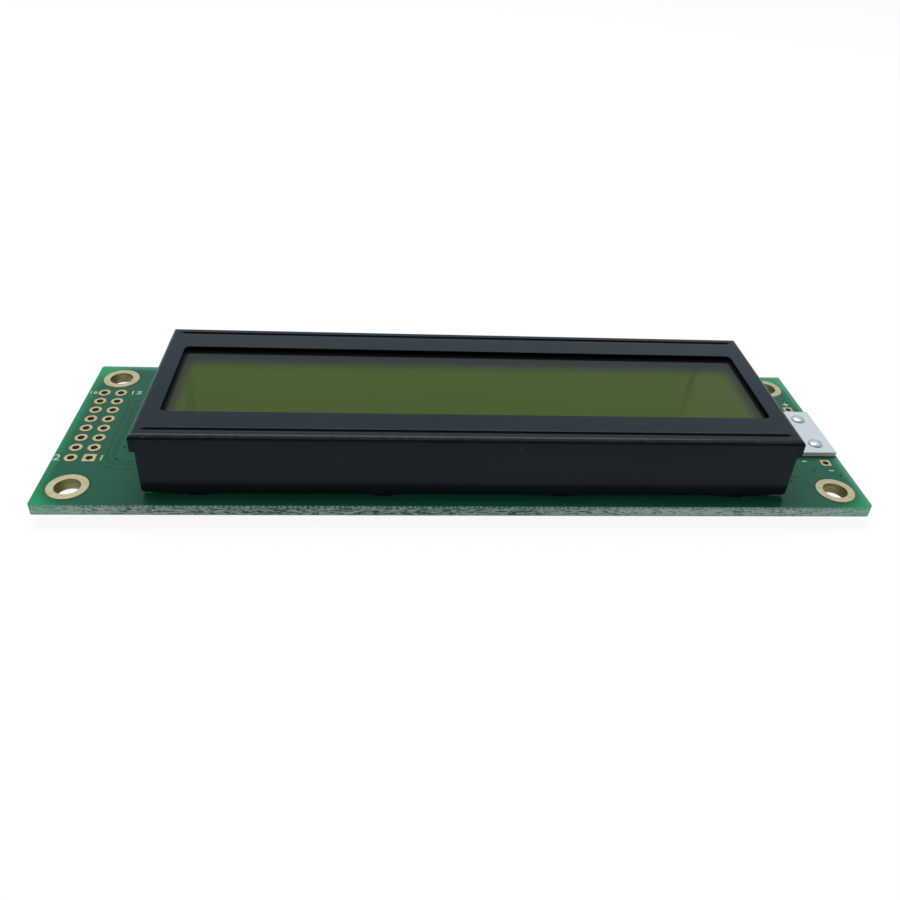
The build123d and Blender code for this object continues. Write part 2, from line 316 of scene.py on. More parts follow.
def laminate(tree, point, x, y, z, top, bottom):
    """Broken laminate: strands along the edge, the cut weave along its top, smooth near the ends.

    Returns its colour and the pattern of its strands.
    """
    stretched = add(tree, "Mapping", {"Vector": point, "Scale": (0.24, 0.24, 1.3)})[0]
    strands = noise(tree, stretched, 4.2, 4.0, 0.8)
    patches = noise(tree, point, 0.22, 2.0)
    dark = blend(tree, patches, rgb(24, 82, 58), rgb(54, 108, 88))
    pale_right = calc(tree, "MULTIPLY", between(tree, x, 0.0, 34.0), 0.5)
    pale = calc(tree, "ADD", pale_right, calc(tree, "MULTIPLY", between(tree, x, -26.0, -60.0), 0.42))
    light = tint(tree, rgb(198, 223, 217), rgb(222, 248, 240), pale, 2.0)
    cover = calc(tree, "MULTIPLY_ADD", pale, 0.1, strands)
    fibre = blend(tree, between(tree, cover, 0.44, 0.55), dark, light)
    fibre = tint(tree, fibre, rgb(170, 226, 204), pale, 0.2)
    waver = calc(tree, "MULTIPLY", noise(tree, point, 0.7), 14.0)
    beat = calc(tree, "SINE", calc(tree, "MULTIPLY_ADD", calc(tree, "ADD", x, y), 9.0, waver))
    stitch_dark = tint(tree, rgb(74, 126, 104), rgb(88, 166, 124), pale, 2.0)
    stitch = blend(tree, between(tree, beat, -0.4, 0.7), stitch_dark, rgb(182, 208, 198))
    near_top = between(tree, calc(tree, "SUBTRACT", top, z), 0.45, 0.2)
    fibre = tint(tree, fibre, stitch, near_top, 0.7)
    near_bottom = between(tree, calc(tree, "SUBTRACT", z, bottom), 0.3, 0.05)
    fibre = tint(tree, fibre, rgb(186, 198, 194), near_bottom, 0.6)
    near_end = between(tree, calc(tree, "ABSOLUTE", x), 49.0, 57.5)
    return tint(tree, fibre, rgb(164, 246, 198), near_end, 0.5), strands


def make_board_finish():
    """Green lacquer on the flat faces, broken laminate on the edge."""
    material, tree, shader = start_finish("green_mask", roughness=0.16, gloss=0.2)
    point, x, y, z = place_on(tree)
    corner, copper_shift, end_gap, rear_gap, front_gap = 5.3, 0.08, 0.83, 0.9, -0.45
    from_middle = calc(tree, "ABSOLUTE", calc(tree, "ADD", x, copper_shift))
    over_end = calc(tree, "SUBTRACT", from_middle, board_high.x - end_gap - corner)
    over_end = calc(tree, "MAXIMUM", over_end, 0.0)
    over_rear = calc(tree, "SUBTRACT", y, board_high.y - rear_gap - corner)
    over_front = calc(tree, "SUBTRACT", corner + front_gap - board_high.y, y)
    over_side = calc(tree, "MAXIMUM", calc(tree, "MAXIMUM", over_rear, over_front), 0.0)
    off_copper = calc(tree, "SUBTRACT", slant(tree, over_end, over_side), corner + 0.4)
    off_copper = calc(tree, "MULTIPLY_ADD", noise(tree, point, 0.25), 0.8, off_copper)
    over_copper = blend(tree, noise(tree, point, 0.12, 1.0), rgb(25, 90, 61), rgb(32, 99, 70))
    # Painted light: the bright green near the outline stands for light that comes through the fibre where no
    # copper is.
    mask = blend(tree, between(tree, off_copper, -0.95, 1.65), over_copper, rgb(31, 157, 99))
    from_right, from_rear = calc(tree, "SUBTRACT", board_high.x, x), calc(tree, "SUBTRACT", board_high.y, y)
    thin_rim = between(tree, calc(tree, "MINIMUM", from_right, from_rear), 1.0, 0.2)
    mask = tint(tree, mask, rgb(118, 164, 144), thin_rim, 0.4)
    from_hole_x = calc(tree, "SUBTRACT", calc(tree, "ABSOLUTE", x), hole_reach_x)
    from_hole_y = calc(tree, "SUBTRACT", calc(tree, "ABSOLUTE", y), hole_reach_y)
    from_ring = apart(tree, slant(tree, from_hole_x, from_hole_y), mount_pad_radius + 0.13)
    inner_side = between(tree, from_hole_x, 1.6, -1.2)
    ring_rim = calc(tree, "MULTIPLY", between(tree, from_ring, 0.4, 0.05), inner_side)
    mask = tint(tree, mask, rgb(17, 68, 56), ring_rim, 0.75)
    # Painted shade: the lacquer along the tongue of the lamp board is darkened, where little light gets in.
    tongue_shade = between(tree, calc(tree, "ABSOLUTE", y), tongue_reach + 0.8, tongue_reach)
    tongue_shade = calc(tree, "MULTIPLY", tongue_shade, between(tree, x, 45.0, 47.0))
    mask = tint(tree, mask, rgb(8, 30, 20), tongue_shade, 0.8)
    mask = tint(tree, mask, rgb(170, 190, 180), scattered(tree, point, 0.35, 0.032), 0.6)
    fibre, strands = laminate(tree, point, x, y, z, board_high.z, board_low.z)
    flat_face = upright_share(tree)
    fill(tree, shader, {"Base Color": blend(tree, flat_face, fibre, mask)})
    fill(tree, shader, {"Roughness": calc(tree, "MULTIPLY_ADD", flat_face, -0.6, 0.76)})
    weave = calc(tree, "MULTIPLY", noise(tree, point, 1.4, 2.0), 0.2)
    rough_edge = calc(tree, "MULTIPLY", calc(tree, "SUBTRACT", 1.0, flat_face), strands)
    raise_surface(tree, shader, calc(tree, "MULTIPLY_ADD", rough_edge, 6.0, weave), 0.02)
    return material


def wear(node, material):
    """Gives a solid its finish."""
    mesh = nodes[node].data
    mesh.materials.clear()
    mesh.materials.append(material)


green_mask = make_board_finish()
wear("main_board", green_mask)
print("board wears", green_mask.name)

# %% [markdown]
# ## The bezel's paint
#
# The bezel is pressed from steel and painted satin blue-black. The paint has a fine orange-peel skin that
# breaks up its reflections, and a few pale grains of dust. Along the bends it is rubbed a little paler and
# carries some painted highlight, and along the inner lip of each pressed groove a painted highlight stands
# for the light that the round lip reflects. The material finds both by the distance from the bezel's
# outline. The grooves themselves are painted darker, as painted shade.

# %% Bezel paint
bezel_low, bezel_high = (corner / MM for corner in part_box("bezel"))
bezel_middle_y = (bezel_low.y + bezel_high.y) / 2
bezel_half_depth = 15.25
bend_inset, lip_inset = 0.2, 2.12


def make_bezel_paint():
    """Satin paint: wear and painted highlight on the bends, painted highlights on the lips, painted shade in
    grooves.
    """
    material, tree, shader = start_finish("satin_black_paint", roughness=0.2, gloss=0.17)
    point, x, y, z = place_on(tree)
    cloudy = between(tree, noise(tree, point, 0.08, 2.0), 0.3, 0.7)
    paint = blend(tree, cloudy, rgb(24, 33, 40), rgb(28, 37, 44))
    from_left = calc(tree, "SUBTRACT", x, bezel_low.x)
    from_right = calc(tree, "SUBTRACT", bezel_high.x, x)
    from_top = calc(tree, "SUBTRACT", bezel_high.z, z)
    from_end = calc(tree, "MINIMUM", from_left, from_right)
    from_side = calc(tree, "SUBTRACT", bezel_half_depth, apart(tree, y, bezel_middle_y))
    from_outline = calc(tree, "MINIMUM", from_end, from_side)
    from_bend = calc(tree, "ADD", apart(tree, from_outline, bend_inset), from_top)
    from_lip = calc(tree, "ADD", apart(tree, from_side, lip_inset), from_top)
    # Painted highlight on the inner lip of each groove; along the bends the paler paint is wear with some
    # painted highlight.
    lip_highlight = calc(tree, "MULTIPLY", between(tree, from_lip, 0.26, 0.1), between(tree, from_end, 1.2, 1.8))
    wear_and_highlight = calc(tree, "MAXIMUM", between(tree, from_bend, 0.6, 0.3), lip_highlight)
    wear_and_highlight = calc(tree, "MULTIPLY", wear_and_highlight, between(tree, noise(tree, point, 0.9, 3.0), 0.1, 0.9))
    paint = tint(tree, paint, rgb(96, 104, 110), wear_and_highlight, 0.22)
    # Painted shade: the grooves are painted near black.
    groove_shade = calc(tree, "MULTIPLY", between(tree, from_top, 0.06, 0.2), between(tree, from_side, 1.1, 1.3))
    paint = blend(tree, groove_shade, paint, rgb(3, 4, 5))
    paint = tint(tree, paint, rgb(150, 156, 158), scattered(tree, point, 0.42, 0.03), 0.5)
    fill(tree, shader, {"Base Color": paint})
    raise_surface(tree, shader, noise(tree, point, 5.5, 2.0), 0.004)
    return material


bezel_paint = make_bezel_paint()
wear("bezel", bezel_paint)
print("bezel wears", bezel_paint.name)

# %% [markdown]
# ## The display film
#
# Without power the display is an even olive green. Under the edge of the window the film lies in the dark
# gap below the bezel, which is painted on as painted shade. Beside that the deeper layers lie in its shade,
# so the olive turns to slate, most of all at the rear: painted shade with a painted reflection over it. Two
# faint streaks of painted reflection cross the film, one near each end, and the film beyond each of them is
# a little paler, as a painted sheen.

# %% Film finish
def make_film_finish():
    """Olive film, two streaks of painted reflection, painted shade slate and dark towards the window's sides.
    """
    low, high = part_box("front_polarizer")
    hidden_rim = 1.2
    left, front = low.x / MM + hidden_rim, low.y / MM + hidden_rim
    right, rear = high.x / MM - hidden_rim, high.y / MM - hidden_rim
    material, tree, shader = start_finish("olive_film", roughness=0.2, gloss=0.07)
    point, x, y = place_on(tree)[:3]
    streak_lean, streak_x, left_lean, left_x = -0.456, 34.6, 0.226, -39.7
    from_streak = calc(tree, "SUBTRACT", calc(tree, "MULTIPLY_ADD", y, streak_lean, x), streak_x)
    from_left_streak = calc(tree, "SUBTRACT", calc(tree, "MULTIPLY_ADD", y, left_lean, x), left_x)
    streak_reflection_colour = rgb(44, 54, 26)
    olive = blend(tree, noise(tree, point, 0.1), rgb(72, 91, 33), rgb(75, 94, 37))
    # Painted reflection: the film beyond each streak is a little paler, and each streak is a faint dark line.
    olive = blend(tree, between(tree, from_streak, -0.8, 1.6), olive, rgb(78, 94, 44))
    streak_reflection = between(tree, calc(tree, "ABSOLUTE", from_streak), 0.9, 0.1)
    streak_reflection = calc(tree, "MULTIPLY", streak_reflection, between(tree, y, -16.0, 8.0))
    olive = tint(tree, olive, streak_reflection_colour, streak_reflection, 0.5)
    olive = blend(tree, between(tree, from_left_streak, 0.2, -0.8), olive, rgb(74, 92, 44))
    left_streak_reflection = between(tree, calc(tree, "ABSOLUTE", from_left_streak), 0.9, 0.4)
    olive = tint(tree, olive, streak_reflection_colour, left_streak_reflection, 0.22)
    to_rear, to_front = calc(tree, "SUBTRACT", rear, y), calc(tree, "SUBTRACT", y, front)
    to_left, to_right = calc(tree, "SUBTRACT", x, left), calc(tree, "SUBTRACT", right, x)
    gap_shade, side_gap_shade = rgb(9, 10, 10), rgb(17, 19, 10)
    # Painted shade towards the sides of the window: slate with a painted reflection over it, and near black
    # in the gap under the bezel's edge.
    for inside, shade_ends, olive_starts, shade in (
        (to_left, 0.6, 2.4, rgb(56, 61, 47)),
        (to_right, 0.8, 3.0, rgb(55, 61, 52)),
        (to_rear, 2.1, 6.2, rgb(45, 54, 53)),
        (to_rear, 1.15, 1.4, gap_shade),
        (to_left, 0.5, 0.75, side_gap_shade),
        (to_right, 0.5, 0.8, side_gap_shade),
        (to_front, -1.0, -0.2, gap_shade),
    ):
        olive = blend(tree, between(tree, inside, shade_ends, olive_starts), shade, olive)
    fill(tree, shader, {"Base Color": olive})
    raise_surface(tree, shader, noise(tree, point, 2.0, 2.0), 0.0015)
    return material


olive_film = make_film_finish()
wear("front_polarizer", olive_film)
print("film wears", olive_film.name)

# %% [markdown]
# ## Finishes of the smaller parts
#
# Most of the smaller parts have one colour that varies a little from place to place. The rings are copper
# with a thin coat of gold over nickel, dull and pale. The parts that only show from below or through the
# slots are finished with the same care, because the module is also looked at from behind.

# %% Finishes that vary in one colour
def make_mottled(name, dark, light, per_mm, roughness, gloss, metallic=0.0, bump_mm=0.003):
    """Two close colours in a cloudy pattern, and finer clouds as relief."""
    material, tree, shader = start_finish(name, roughness, gloss, metallic)
    point = place_on(tree)[0]
    pattern = between(tree, noise(tree, point, per_mm, 3.0), 0.3, 0.7)
    fill(tree, shader, {"Base Color": blend(tree, pattern, dark, light)})
    raise_surface(tree, shader, noise(tree, point, per_mm * 4, 2.0), bump_mm)
    return material


gold = make_mottled("dull_gold", rgb(178, 170, 142), rgb(194, 187, 160), 1.5, 0.42, 0.5, 0.7)
solder = make_mottled("bright_solder", rgb(178, 182, 180), rgb(208, 210, 206), 1.6, 0.36, 0.5, 0.6)
white_plastic = make_mottled("white_plastic", rgb(214, 216, 212), rgb(226, 227, 223), 0.4, 0.45, 0.4)
milky_film = make_mottled("milky_film", rgb(206, 214, 188), rgb(216, 222, 198), 0.5, 0.4, 0.4)
olive_back = make_mottled("olive_back_film", rgb(86, 96, 46), rgb(94, 104, 52), 0.5, 0.3, 0.4)
cell_glass = make_mottled("cell_glass", rgb(96, 108, 86), rgb(104, 116, 92), 0.3, 0.06, 0.5)
lamp_chip = make_mottled("lamp_chip", rgb(188, 196, 92), rgb(204, 210, 110), 2.0, 0.3, 0.4)
resin = make_mottled("black_resin", rgb(17, 17, 18), rgb(26, 26, 27), 0.9, 0.28, 0.4, 0.0, 0.012)

CAPS = ("controller_cap", "left_driver_cap", "right_driver_cap")
for material, names in (
    (white_plastic, ["lamp_box"]), (milky_film, ["diffuser"]), (olive_back, ["rear_polarizer"]),
    (cell_glass, ["upper_glass", "lower_glass"]), (lamp_chip, ["front_lamps", "rear_lamps"]), (resin, CAPS),
    (gold, [n for n in nodes if n.endswith("_ring") or "fingers" in n]),
    (solder, [n for n in nodes if n.endswith(("_pin", "_solder"))]),
):
    for name in names:
        wear(name, material)
print("plain finishes:", len(bpy.data.materials))


# %% White lacquer with a rough sawn edge
def make_white_board_finish():
    """White lacquer on the flat faces, strands of pale laminate on the edge."""
    material, tree, shader = start_finish("white_lacquer", roughness=0.3, gloss=0.25)
    point = place_on(tree)[0]
    lacquer = blend(tree, noise(tree, point, 0.6), rgb(209, 222, 230), rgb(219, 231, 237))
    stretched = add(tree, "Mapping", {"Vector": point, "Scale": (0.35, 0.35, 1.4)})[0]
    strands = noise(tree, stretched, 5.0, 3.0, 0.7)
    sawn = blend(tree, between(tree, strands, 0.4, 0.6), rgb(206, 213, 207), rgb(252, 254, 252))
    flat_face = upright_share(tree)
    fill(tree, shader, {"Base Color": blend(tree, flat_face, sawn, lacquer)})
    raise_surface(tree, shader, calc(tree, "MULTIPLY", strands, calc(tree, "SUBTRACT", 1.0, flat_face)), 0.03)
    return material


white_lacquer = make_white_board_finish()
wear("lamp_board", white_lacquer)
print("lamp board wears", white_lacquer.name)


# %% Rubber strips and chip parts
def make_strip_finish():
    """Silicone rubber with fine conducting stripes across its length."""
    material, tree, shader = start_finish("striped_rubber", roughness=0.7, gloss=0.3)
    point = place_on(tree)[0]
    stripes = add(tree, "TexWave", {"Vector": point, "Scale": 3.5}, bands_direction="X")["Fac"]
    stripe = between(tree, stripes, 0.4, 0.6)
    fill(tree, shader, {"Base Color": blend(tree, stripe, rgb(52, 52, 54), rgb(196, 178, 168))})
    raise_surface(tree, shader, stripe, 0.004)
    return material


def make_chip_finish(name, body, middle_x):
    """Fired body between tinned ends: the distance from the part's middle tells which is which."""
    material, tree, shader = start_finish(name, roughness=0.4, gloss=0.4)
    point, x = place_on(tree)[:2]
    is_end = calc(tree, "GREATER_THAN", apart(tree, x, middle_x), 0.6)
    speckle = between(tree, noise(tree, point, 6.0, 2.0), 0.3, 0.7)
    fired = blend(tree, speckle, body, blend(tree, 0.3, body, rgb(255, 255, 255)))
    tinned = blend(tree, speckle, rgb(178, 180, 180), rgb(206, 208, 208))
    fill(tree, shader, {"Base Color": blend(tree, is_end, fired, tinned)})
    fill(tree, shader, {"Metallic": calc(tree, "MULTIPLY", is_end, 0.85)})
    raise_surface(tree, shader, speckle, 0.01)
    return material


striped_rubber = make_strip_finish()
for name in ("front_contact_strip", "rear_contact_strip"):
    wear(name, striped_rubber)
black_body, tan_body = rgb(30, 30, 33), rgb(150, 118, 84)
for name in ("clock_resistor", "bias_resistors", "lamp_resistors", "supply_capacitors"):
    body = tan_body if name == "supply_capacitors" else black_body
    low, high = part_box(name)
    wear(name, make_chip_finish(name + "_finish", body, (low.x + high.x) / 2 / MM))
unfinished = [name for name, solid in nodes.items() if not solid.data.materials[0].use_nodes]
print("solids without a finish:", unfinished)

# %% [markdown]
# ## Round pieces that need many faces
#
# The CAD model draws the rings, the solder heaps and the resin caps with few sides. Here each is turned
# again on a lathe: a short profile is swept once round an upright axis with the spin operator, which is how
# such a round piece is quickest to make. Where a profile starts on the axis, the doubled points there are
# merged.

# %% Lathe helper
def finish_piece(name, mesh, crisp, material, slot, *replaced):
    """Makes an object of a bmesh, gives it its finish and lets it stand for CAD nodes.

    Doubled points are merged, all faces are turned outwards, and edges stay crisp where two faces meet at
    more than crisp degrees.
    """
    bmesh.ops.remove_doubles(mesh, verts=mesh.verts, dist=0.0004 * MM)
    bmesh.ops.recalc_face_normals(mesh, faces=mesh.faces)
    for edge in mesh.edges:
        edge.smooth = edge.calc_face_angle(0) < math.radians(crisp)
    data = bpy.data.meshes.new(name)
    mesh.to_mesh(data)
    mesh.free()
    data.shade_smooth()
    data.materials.append(material)
    piece = put(name, data)
    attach(piece, "root")
    for node in replaced:
        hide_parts(node)
    print(name, "has", len(data.polygons), "faces")
    return piece


def turn_profile(mesh, middle, profile, steps, closed=False):
    """Spins points (radius, height) in mm round an upright axis through the middle, also in mm."""
    verts = [
        mesh.verts.new(Vector((middle[0] + radius, middle[1], height)) * MM) for radius, height in profile
    ]
    pairs = list(zip(verts, verts[1:])) + ([(verts[-1], verts[0])] if closed else [])
    edges = [mesh.edges.new(pair) for pair in pairs]
    centre = Vector((middle[0], middle[1], 0)) * MM
    bmesh.ops.spin(mesh, geom=verts + edges, cent=centre, axis=(0, 0, 1), angle=math.tau, steps=steps,
                   use_merge=True)


def reshape(verts, middle, rule):
    """Moves points about an upright axis to where the rule puts their offset from it, all in mm."""
    for vert in verts:
        offset = rule(Vector((vert.co.x / MM - middle[0], vert.co.y / MM - middle[1])))
        vert.co.x, vert.co.y = (middle[0] + offset.x) * MM, (middle[1] + offset.y) * MM


def rounded_square(power, beyond=0.0):
    """Rule that turns a circle into a square with round corners, the sharper the higher the power.

    Points that lie less far out than beyond stay where they are.
    """
    def rule(offset):
        if offset.length <= beyond:
            return offset
        return offset / sum(abs(c / offset.length) ** power for c in offset) ** (1 / power)
    return rule


print("lathe ready")


# %% Ring finish
def make_ring_finish(name, bore_dark, bore_light):
    """Dull gold on the faces, brown down the bore, where little light comes, painted shade darkest on its
    outer side.
    """
    material, tree, shader = start_finish(name, roughness=0.42, gloss=0.5, metallic=0.6)
    point, x = place_on(tree)[:2]
    cloudy = between(tree, noise(tree, point, 1.2, 3.0), 0.3, 0.7)
    face = blend(tree, cloudy, rgb(184, 170, 126), rgb(198, 186, 146))
    round_bore = add(tree, "Mapping", {"Vector": point, "Scale": (0.25, 0.25, 1.6)})[0]
    streaks = between(tree, noise(tree, round_bore, 3.0, 3.0), 0.3, 0.7)
    bore = blend(tree, streaks, bore_dark, bore_light)
    facing = add(tree, "SeparateXYZ", {0: add(tree, "TexCoord", {})["Normal"]})["X"]
    shade_facing = calc(tree, "MULTIPLY", facing, calc(tree, "SIGN", x))
    # Painted shade: the side of the bore that faces the dark bezel is darker.
    bore = tint(tree, bore, rgb(52, 40, 20), between(tree, shade_facing, -0.3, -1.0), 0.62)
    fill(tree, shader, {"Base Color": blend(tree, upright_share(tree), bore, face)})
    raise_surface(tree, shader, noise(tree, point, 5.0, 2.0), 0.004)
    return material


ring_gold = make_ring_finish("ring_gold", rgb(158, 144, 86), rgb(208, 196, 138))
narrow_ring_gold = make_ring_finish("narrow_ring_gold", rgb(166, 130, 62), rgb(204, 168, 100))
board_top, board_bottom, plating = board_high.z, board_low.z, 0.05


def turn_ring(mesh, middle, pad_radius, bore_radius, steps, power=None):
    """Plated hole: a pad on each face of the board and a thin barrel between them.

    A power makes the pads square, with corners the sharper the higher it is.
    """
    top, bottom = board_top + plating, board_bottom - plating
    barrel = bore_radius + plating
    profile = [
        (bore_radius, bottom), (pad_radius, bottom), (pad_radius, board_bottom), (barrel, board_bottom),
        (barrel, board_top), (pad_radius, board_top), (pad_radius, top), (bore_radius, top),
    ]
    before = set(mesh.verts)
    turn_profile(mesh, middle, profile, steps, closed=True)
    if power:
        reshape(set(mesh.verts) - before, middle, rounded_square(power, pad_radius - 0.01))


pitch, rows = 2.54, 8
row_low, row_high = (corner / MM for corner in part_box("header_rings"))
header_middle = (row_low + row_high) / 2
pin_places = [(header_middle.x + side * pitch / 2, header_middle.y + (row - (rows - 1) / 2) * pitch)
              for row in range(rows) for side in (-1, 1)]
square_low, square_high = (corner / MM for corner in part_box("pin_one_ring"))
square_middle = (square_low + square_high) / 2
round_places = [p for p in pin_places if (Vector(p) - square_middle.xy).length > pitch / 2]

header_pad_radius, header_bore_radius, header_steps = 0.9, 0.5, 32
square_half, square_power, square_steps = (square_high.x - square_low.x) / 2, 14, 64
header_mesh = bmesh.new()
for place in round_places:
    turn_ring(header_mesh, place, header_pad_radius, header_bore_radius, header_steps)
finish_piece("header_ring_set", header_mesh, 40, narrow_ring_gold, "gold", "header_rings")

square_mesh = bmesh.new()
turn_ring(square_mesh, square_middle.xy, square_half, header_bore_radius, square_steps, square_power)
finish_piece("square_pin_ring", square_mesh, 40, narrow_ring_gold, "gold", "pin_one_ring")

# %% Rings of the mounting holes and of the spare lamp holes
mount_bore_radius, spare_bore_radius = 1.75, 0.45
square_bare_half = 0.88
pads = [(place, header_pad_radius, None) for place in round_places]
pads.append((square_middle.xy, square_bare_half, square_power))
for name in [n for n in nodes if n.startswith(("mount_ring", "spare_"))]:
    low, high = (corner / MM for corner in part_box(name))
    middle = ((low + high) / 2).xy
    if name.startswith("mount_ring"):
        pad_radius, bore_radius, steps, power = mount_pad_radius, mount_bore_radius, 96, None
        finish = ring_gold
    else:
        pad_radius, bore_radius, steps, power = (high.y - low.y) / 2, spare_bore_radius, 64, 7
        finish = narrow_ring_gold
    mesh = bmesh.new()
    turn_ring(mesh, middle, pad_radius, bore_radius, steps, power)
    pads.append((middle, pad_radius, power))
    finish_piece("round_" + name, mesh, 40, finish, "gold", name)

# %% [markdown]
# ## The bare line round each pad
#
# The lacquer keeps a hair's breadth away from the pads, so a thin brown line of bare laminate shows round
# each of them. It is a flat loop that lies on the board. Its inner rim is hidden in the pad, so no gap is
# left.

# %% Bare lines
bare_laminate = make_mottled("bare_laminate", rgb(74, 70, 40), rgb(98, 88, 54), 4.0, 0.6, 0.3)
bare_mesh = bmesh.new()
bare_width, bare_overlap, bare_rise = 0.1, 0.05, 0.012
for middle, radius, power in pads:
    inner, outer, bare_top = radius - bare_overlap, radius + bare_width, board_top + bare_rise
    before = set(bare_mesh.verts)
    loop = [(inner, board_top), (outer, board_top), (outer, bare_top), (inner, bare_top)]
    turn_profile(bare_mesh, middle, loop, 64, closed=True)
    if power:
        reshape(set(bare_mesh.verts) - before, middle, rounded_square(power))
finish_piece("bare_pad_lines", bare_mesh, 40, bare_laminate, "board")

# %% [markdown]
# ## Solder heaps
#
# Each lamp terminal ends in a low round heap of solder on the white board and in a taller one below the
# main board. Solder sets as a drop, so the profile of a heap is steep at the rim and level at the crown.

# %% Heaps
def heap_profile(radius, foot, height, steps=12):
    """Points from the rim of a round heap to its crown, in mm."""
    points = [(radius, foot)]
    for step in range(1, steps + 1):
        turned = step / steps * math.pi / 2
        points.append((radius * math.cos(turned) ** 0.8, foot + height * math.sin(turned)))
    points[-1] = (0, foot + height)
    return points


lower_heap_radius, lower_foot = 0.95, board_bottom - plating
lamp_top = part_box("lamp_board")[1].z / MM
for pole in ("anode", "cathode"):
    low, high = (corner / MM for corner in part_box(pole + "_solder"))
    middle = ((low + high) / 2).xy
    upper_heap = heap_profile((high.y - low.y) / 2, lamp_top, high.z - lamp_top)
    lower_heap = heap_profile(lower_heap_radius, lower_foot, low.z - lower_foot)
    mesh = bmesh.new()
    turn_profile(mesh, middle, [(0, lamp_top)] + upper_heap, 64)
    turn_profile(mesh, middle, [(0, lower_foot)] + lower_heap, 48)
    finish_piece(pole + "_solder_heaps", mesh, 60, solder, "solder", pole + "_solder")

# %% [markdown]
# ## Resin caps
#
# Below the board each bare chip is covered with a drop of black resin. The drop is low and wide, stands
# highest in the middle and is not quite round, so slow waves draw its rim in a little after spinning.

# %% Caps
def wavy(start):
    """Rule that draws a round rim in by up to 4 per cent, in waves of three and of five."""
    def rule(offset):
        angle = math.atan2(offset.y, offset.x)
        return offset * (1 - 0.012 * (1 + math.sin(3 * angle + start)) - 0.008 * (1 + math.sin(5 * angle)))
    return rule


cap_steps = 14
for name in CAPS:
    low, high = (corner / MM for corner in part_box(name))
    middle = ((low + high) / 2).xy
    radius, depth = (high.x - low.x) / 2, high.z - low.z
    profile = [(0, high.z), (radius, high.z)]
    for step in range(1, cap_steps):
        turned = step / cap_steps * math.pi / 2
        profile.append((radius * math.cos(turned), high.z - depth * math.sin(turned) ** 1.3))
    profile.append((0, low.z))
    mesh = bmesh.new()
    turn_profile(mesh, middle, profile, 72)
    reshape(mesh.verts, middle, wavy(radius))
    finish_piece(name + "_drop", mesh, 50, resin, "resin", name)

# %% [markdown]
# ## Printed marks
#
# White ink on the lacquer numbers the first and last terminals and marks the poles of the lamp. Each mark
# is written as a text, turned into a mesh while it still lies at the origin, and only then moved to its
# place. The list gives each text, its place in x and y, its height in mm and how far its width is
# stretched.

# %% Marks
ink = make_mottled("white_ink", rgb(188, 204, 200), rgb(214, 224, 220), 6.0, 0.5, 0.3)
MARKS = [
    ("2", -57.46, -7.75, 1.45, 1.1), ("1", -51.35, -7.75, 1.3, 1.0),
    ("16", -57.25, 10.07, 0.95, 1.05), ("15", -50.74, 10.12, 1.05, 1.35),
    ("+", 55.7, 9.15, 1.7, 1.0), ("-", 52.3, -6.98, 1.7, 1.2), ("-", 55.6, -9.38, 1.7, 1.2),
]
ink_thickness = 0.012
# height of a figure as a share of the size of its text
figure_share = 0.72


def mesh_from(name, curve, *moves):
    """Turns a curve or a text into a bmesh and moves it, one move after the other."""
    draft = put(name, curve)
    bpy.context.view_layer.update()
    data = bpy.data.meshes.new_from_object(draft.evaluated_get(bpy.context.evaluated_depsgraph_get()))
    bpy.data.objects.remove(draft)
    for move in moves:
        data.transform(move)
    mesh = bmesh.new()
    mesh.from_mesh(data)
    bpy.data.meshes.remove(data)
    return mesh


def print_mark(index, text, x, y, height, stretch):
    """One mark, lying on the board."""
    curve = bpy.data.curves.new("mark", "FONT")
    curve.body = text
    curve.size = height / figure_share * MM
    curve.align_x, curve.align_y = "CENTER", "CENTER"
    curve.extrude = ink_thickness / 2 * MM
    curve.resolution_u = 4
    place = Vector((x, y, board_top + ink_thickness / 2)) * MM
    mesh = mesh_from("mark", curve, Matrix.Diagonal((stretch, 1, 1, 1)), Matrix.Translation(place))
    finish_piece("printed_mark_%d" % index, mesh, 30, ink, "board")


for index, mark in enumerate(MARKS):
    print_mark(index, *mark)

# %% [markdown]
# ## Tracks under the lacquer
#
# Where two copper tracks run side by side, the lacquer sinks between them and a darker line shows. Each
# line is a smooth curve with a round bevel, turned into a mesh and pressed almost flat. Its edges stay
# crisp, because smooth shading would give so flat a line a dark border.

# %% Track lines
sunk_lacquer = make_mottled("sunk_lacquer", rgb(22, 79, 54), rgb(28, 87, 62), 1.0, 0.2, 0.2, 0.0, 0.001)
LINES = [
    [(-45.5, -10.2), (-48, -10.3), (-49.1, -10.2), (-50.3, -9.8), (-51.3, -8.8)],
    [(-45.7, -9.2), (-48.3, -9.3), (-49.5, -9.1), (-50.3, -8.3), (-50.8, -7.2), (-50.9, -6.1), (-50.9, -3.2),
     (-50.9, -0.8), (-50.9, 3.9), (-51, 7.8)],
    [(-45.9, -8.5), (-48, -8.5), (-49.2, -8.3), (-49.9, -7.6), (-50.1, -6.6), (-50.2, -3.3), (-50.1, -0.9),
     (-50.1, 2.8), (-50.1, 6.5), (-50.1, 8)],
    [(-49.6, -7.4), (-49.7, -6.9), (-49.7, -5.2), (-49.7, -2.5), (-49.6, 0.2), (-49.6, 3.3), (-49.5, 6.2)],
    [(50.4, -6.2), (50.6, -8.2), (50.6, -9.6), (51.1, -10.1), (51.6, -10.7), (52.2, -11.1), (52.8, -11.3),
     (53.3, -11.3)],
    [(48.3, -10.9), (49.3, -11), (50, -11.2), (50.5, -11.9), (50.8, -12.6), (50.8, -13.3), (50.7, -13.9)],
]
line_width, line_rise = 0.42, 0.012


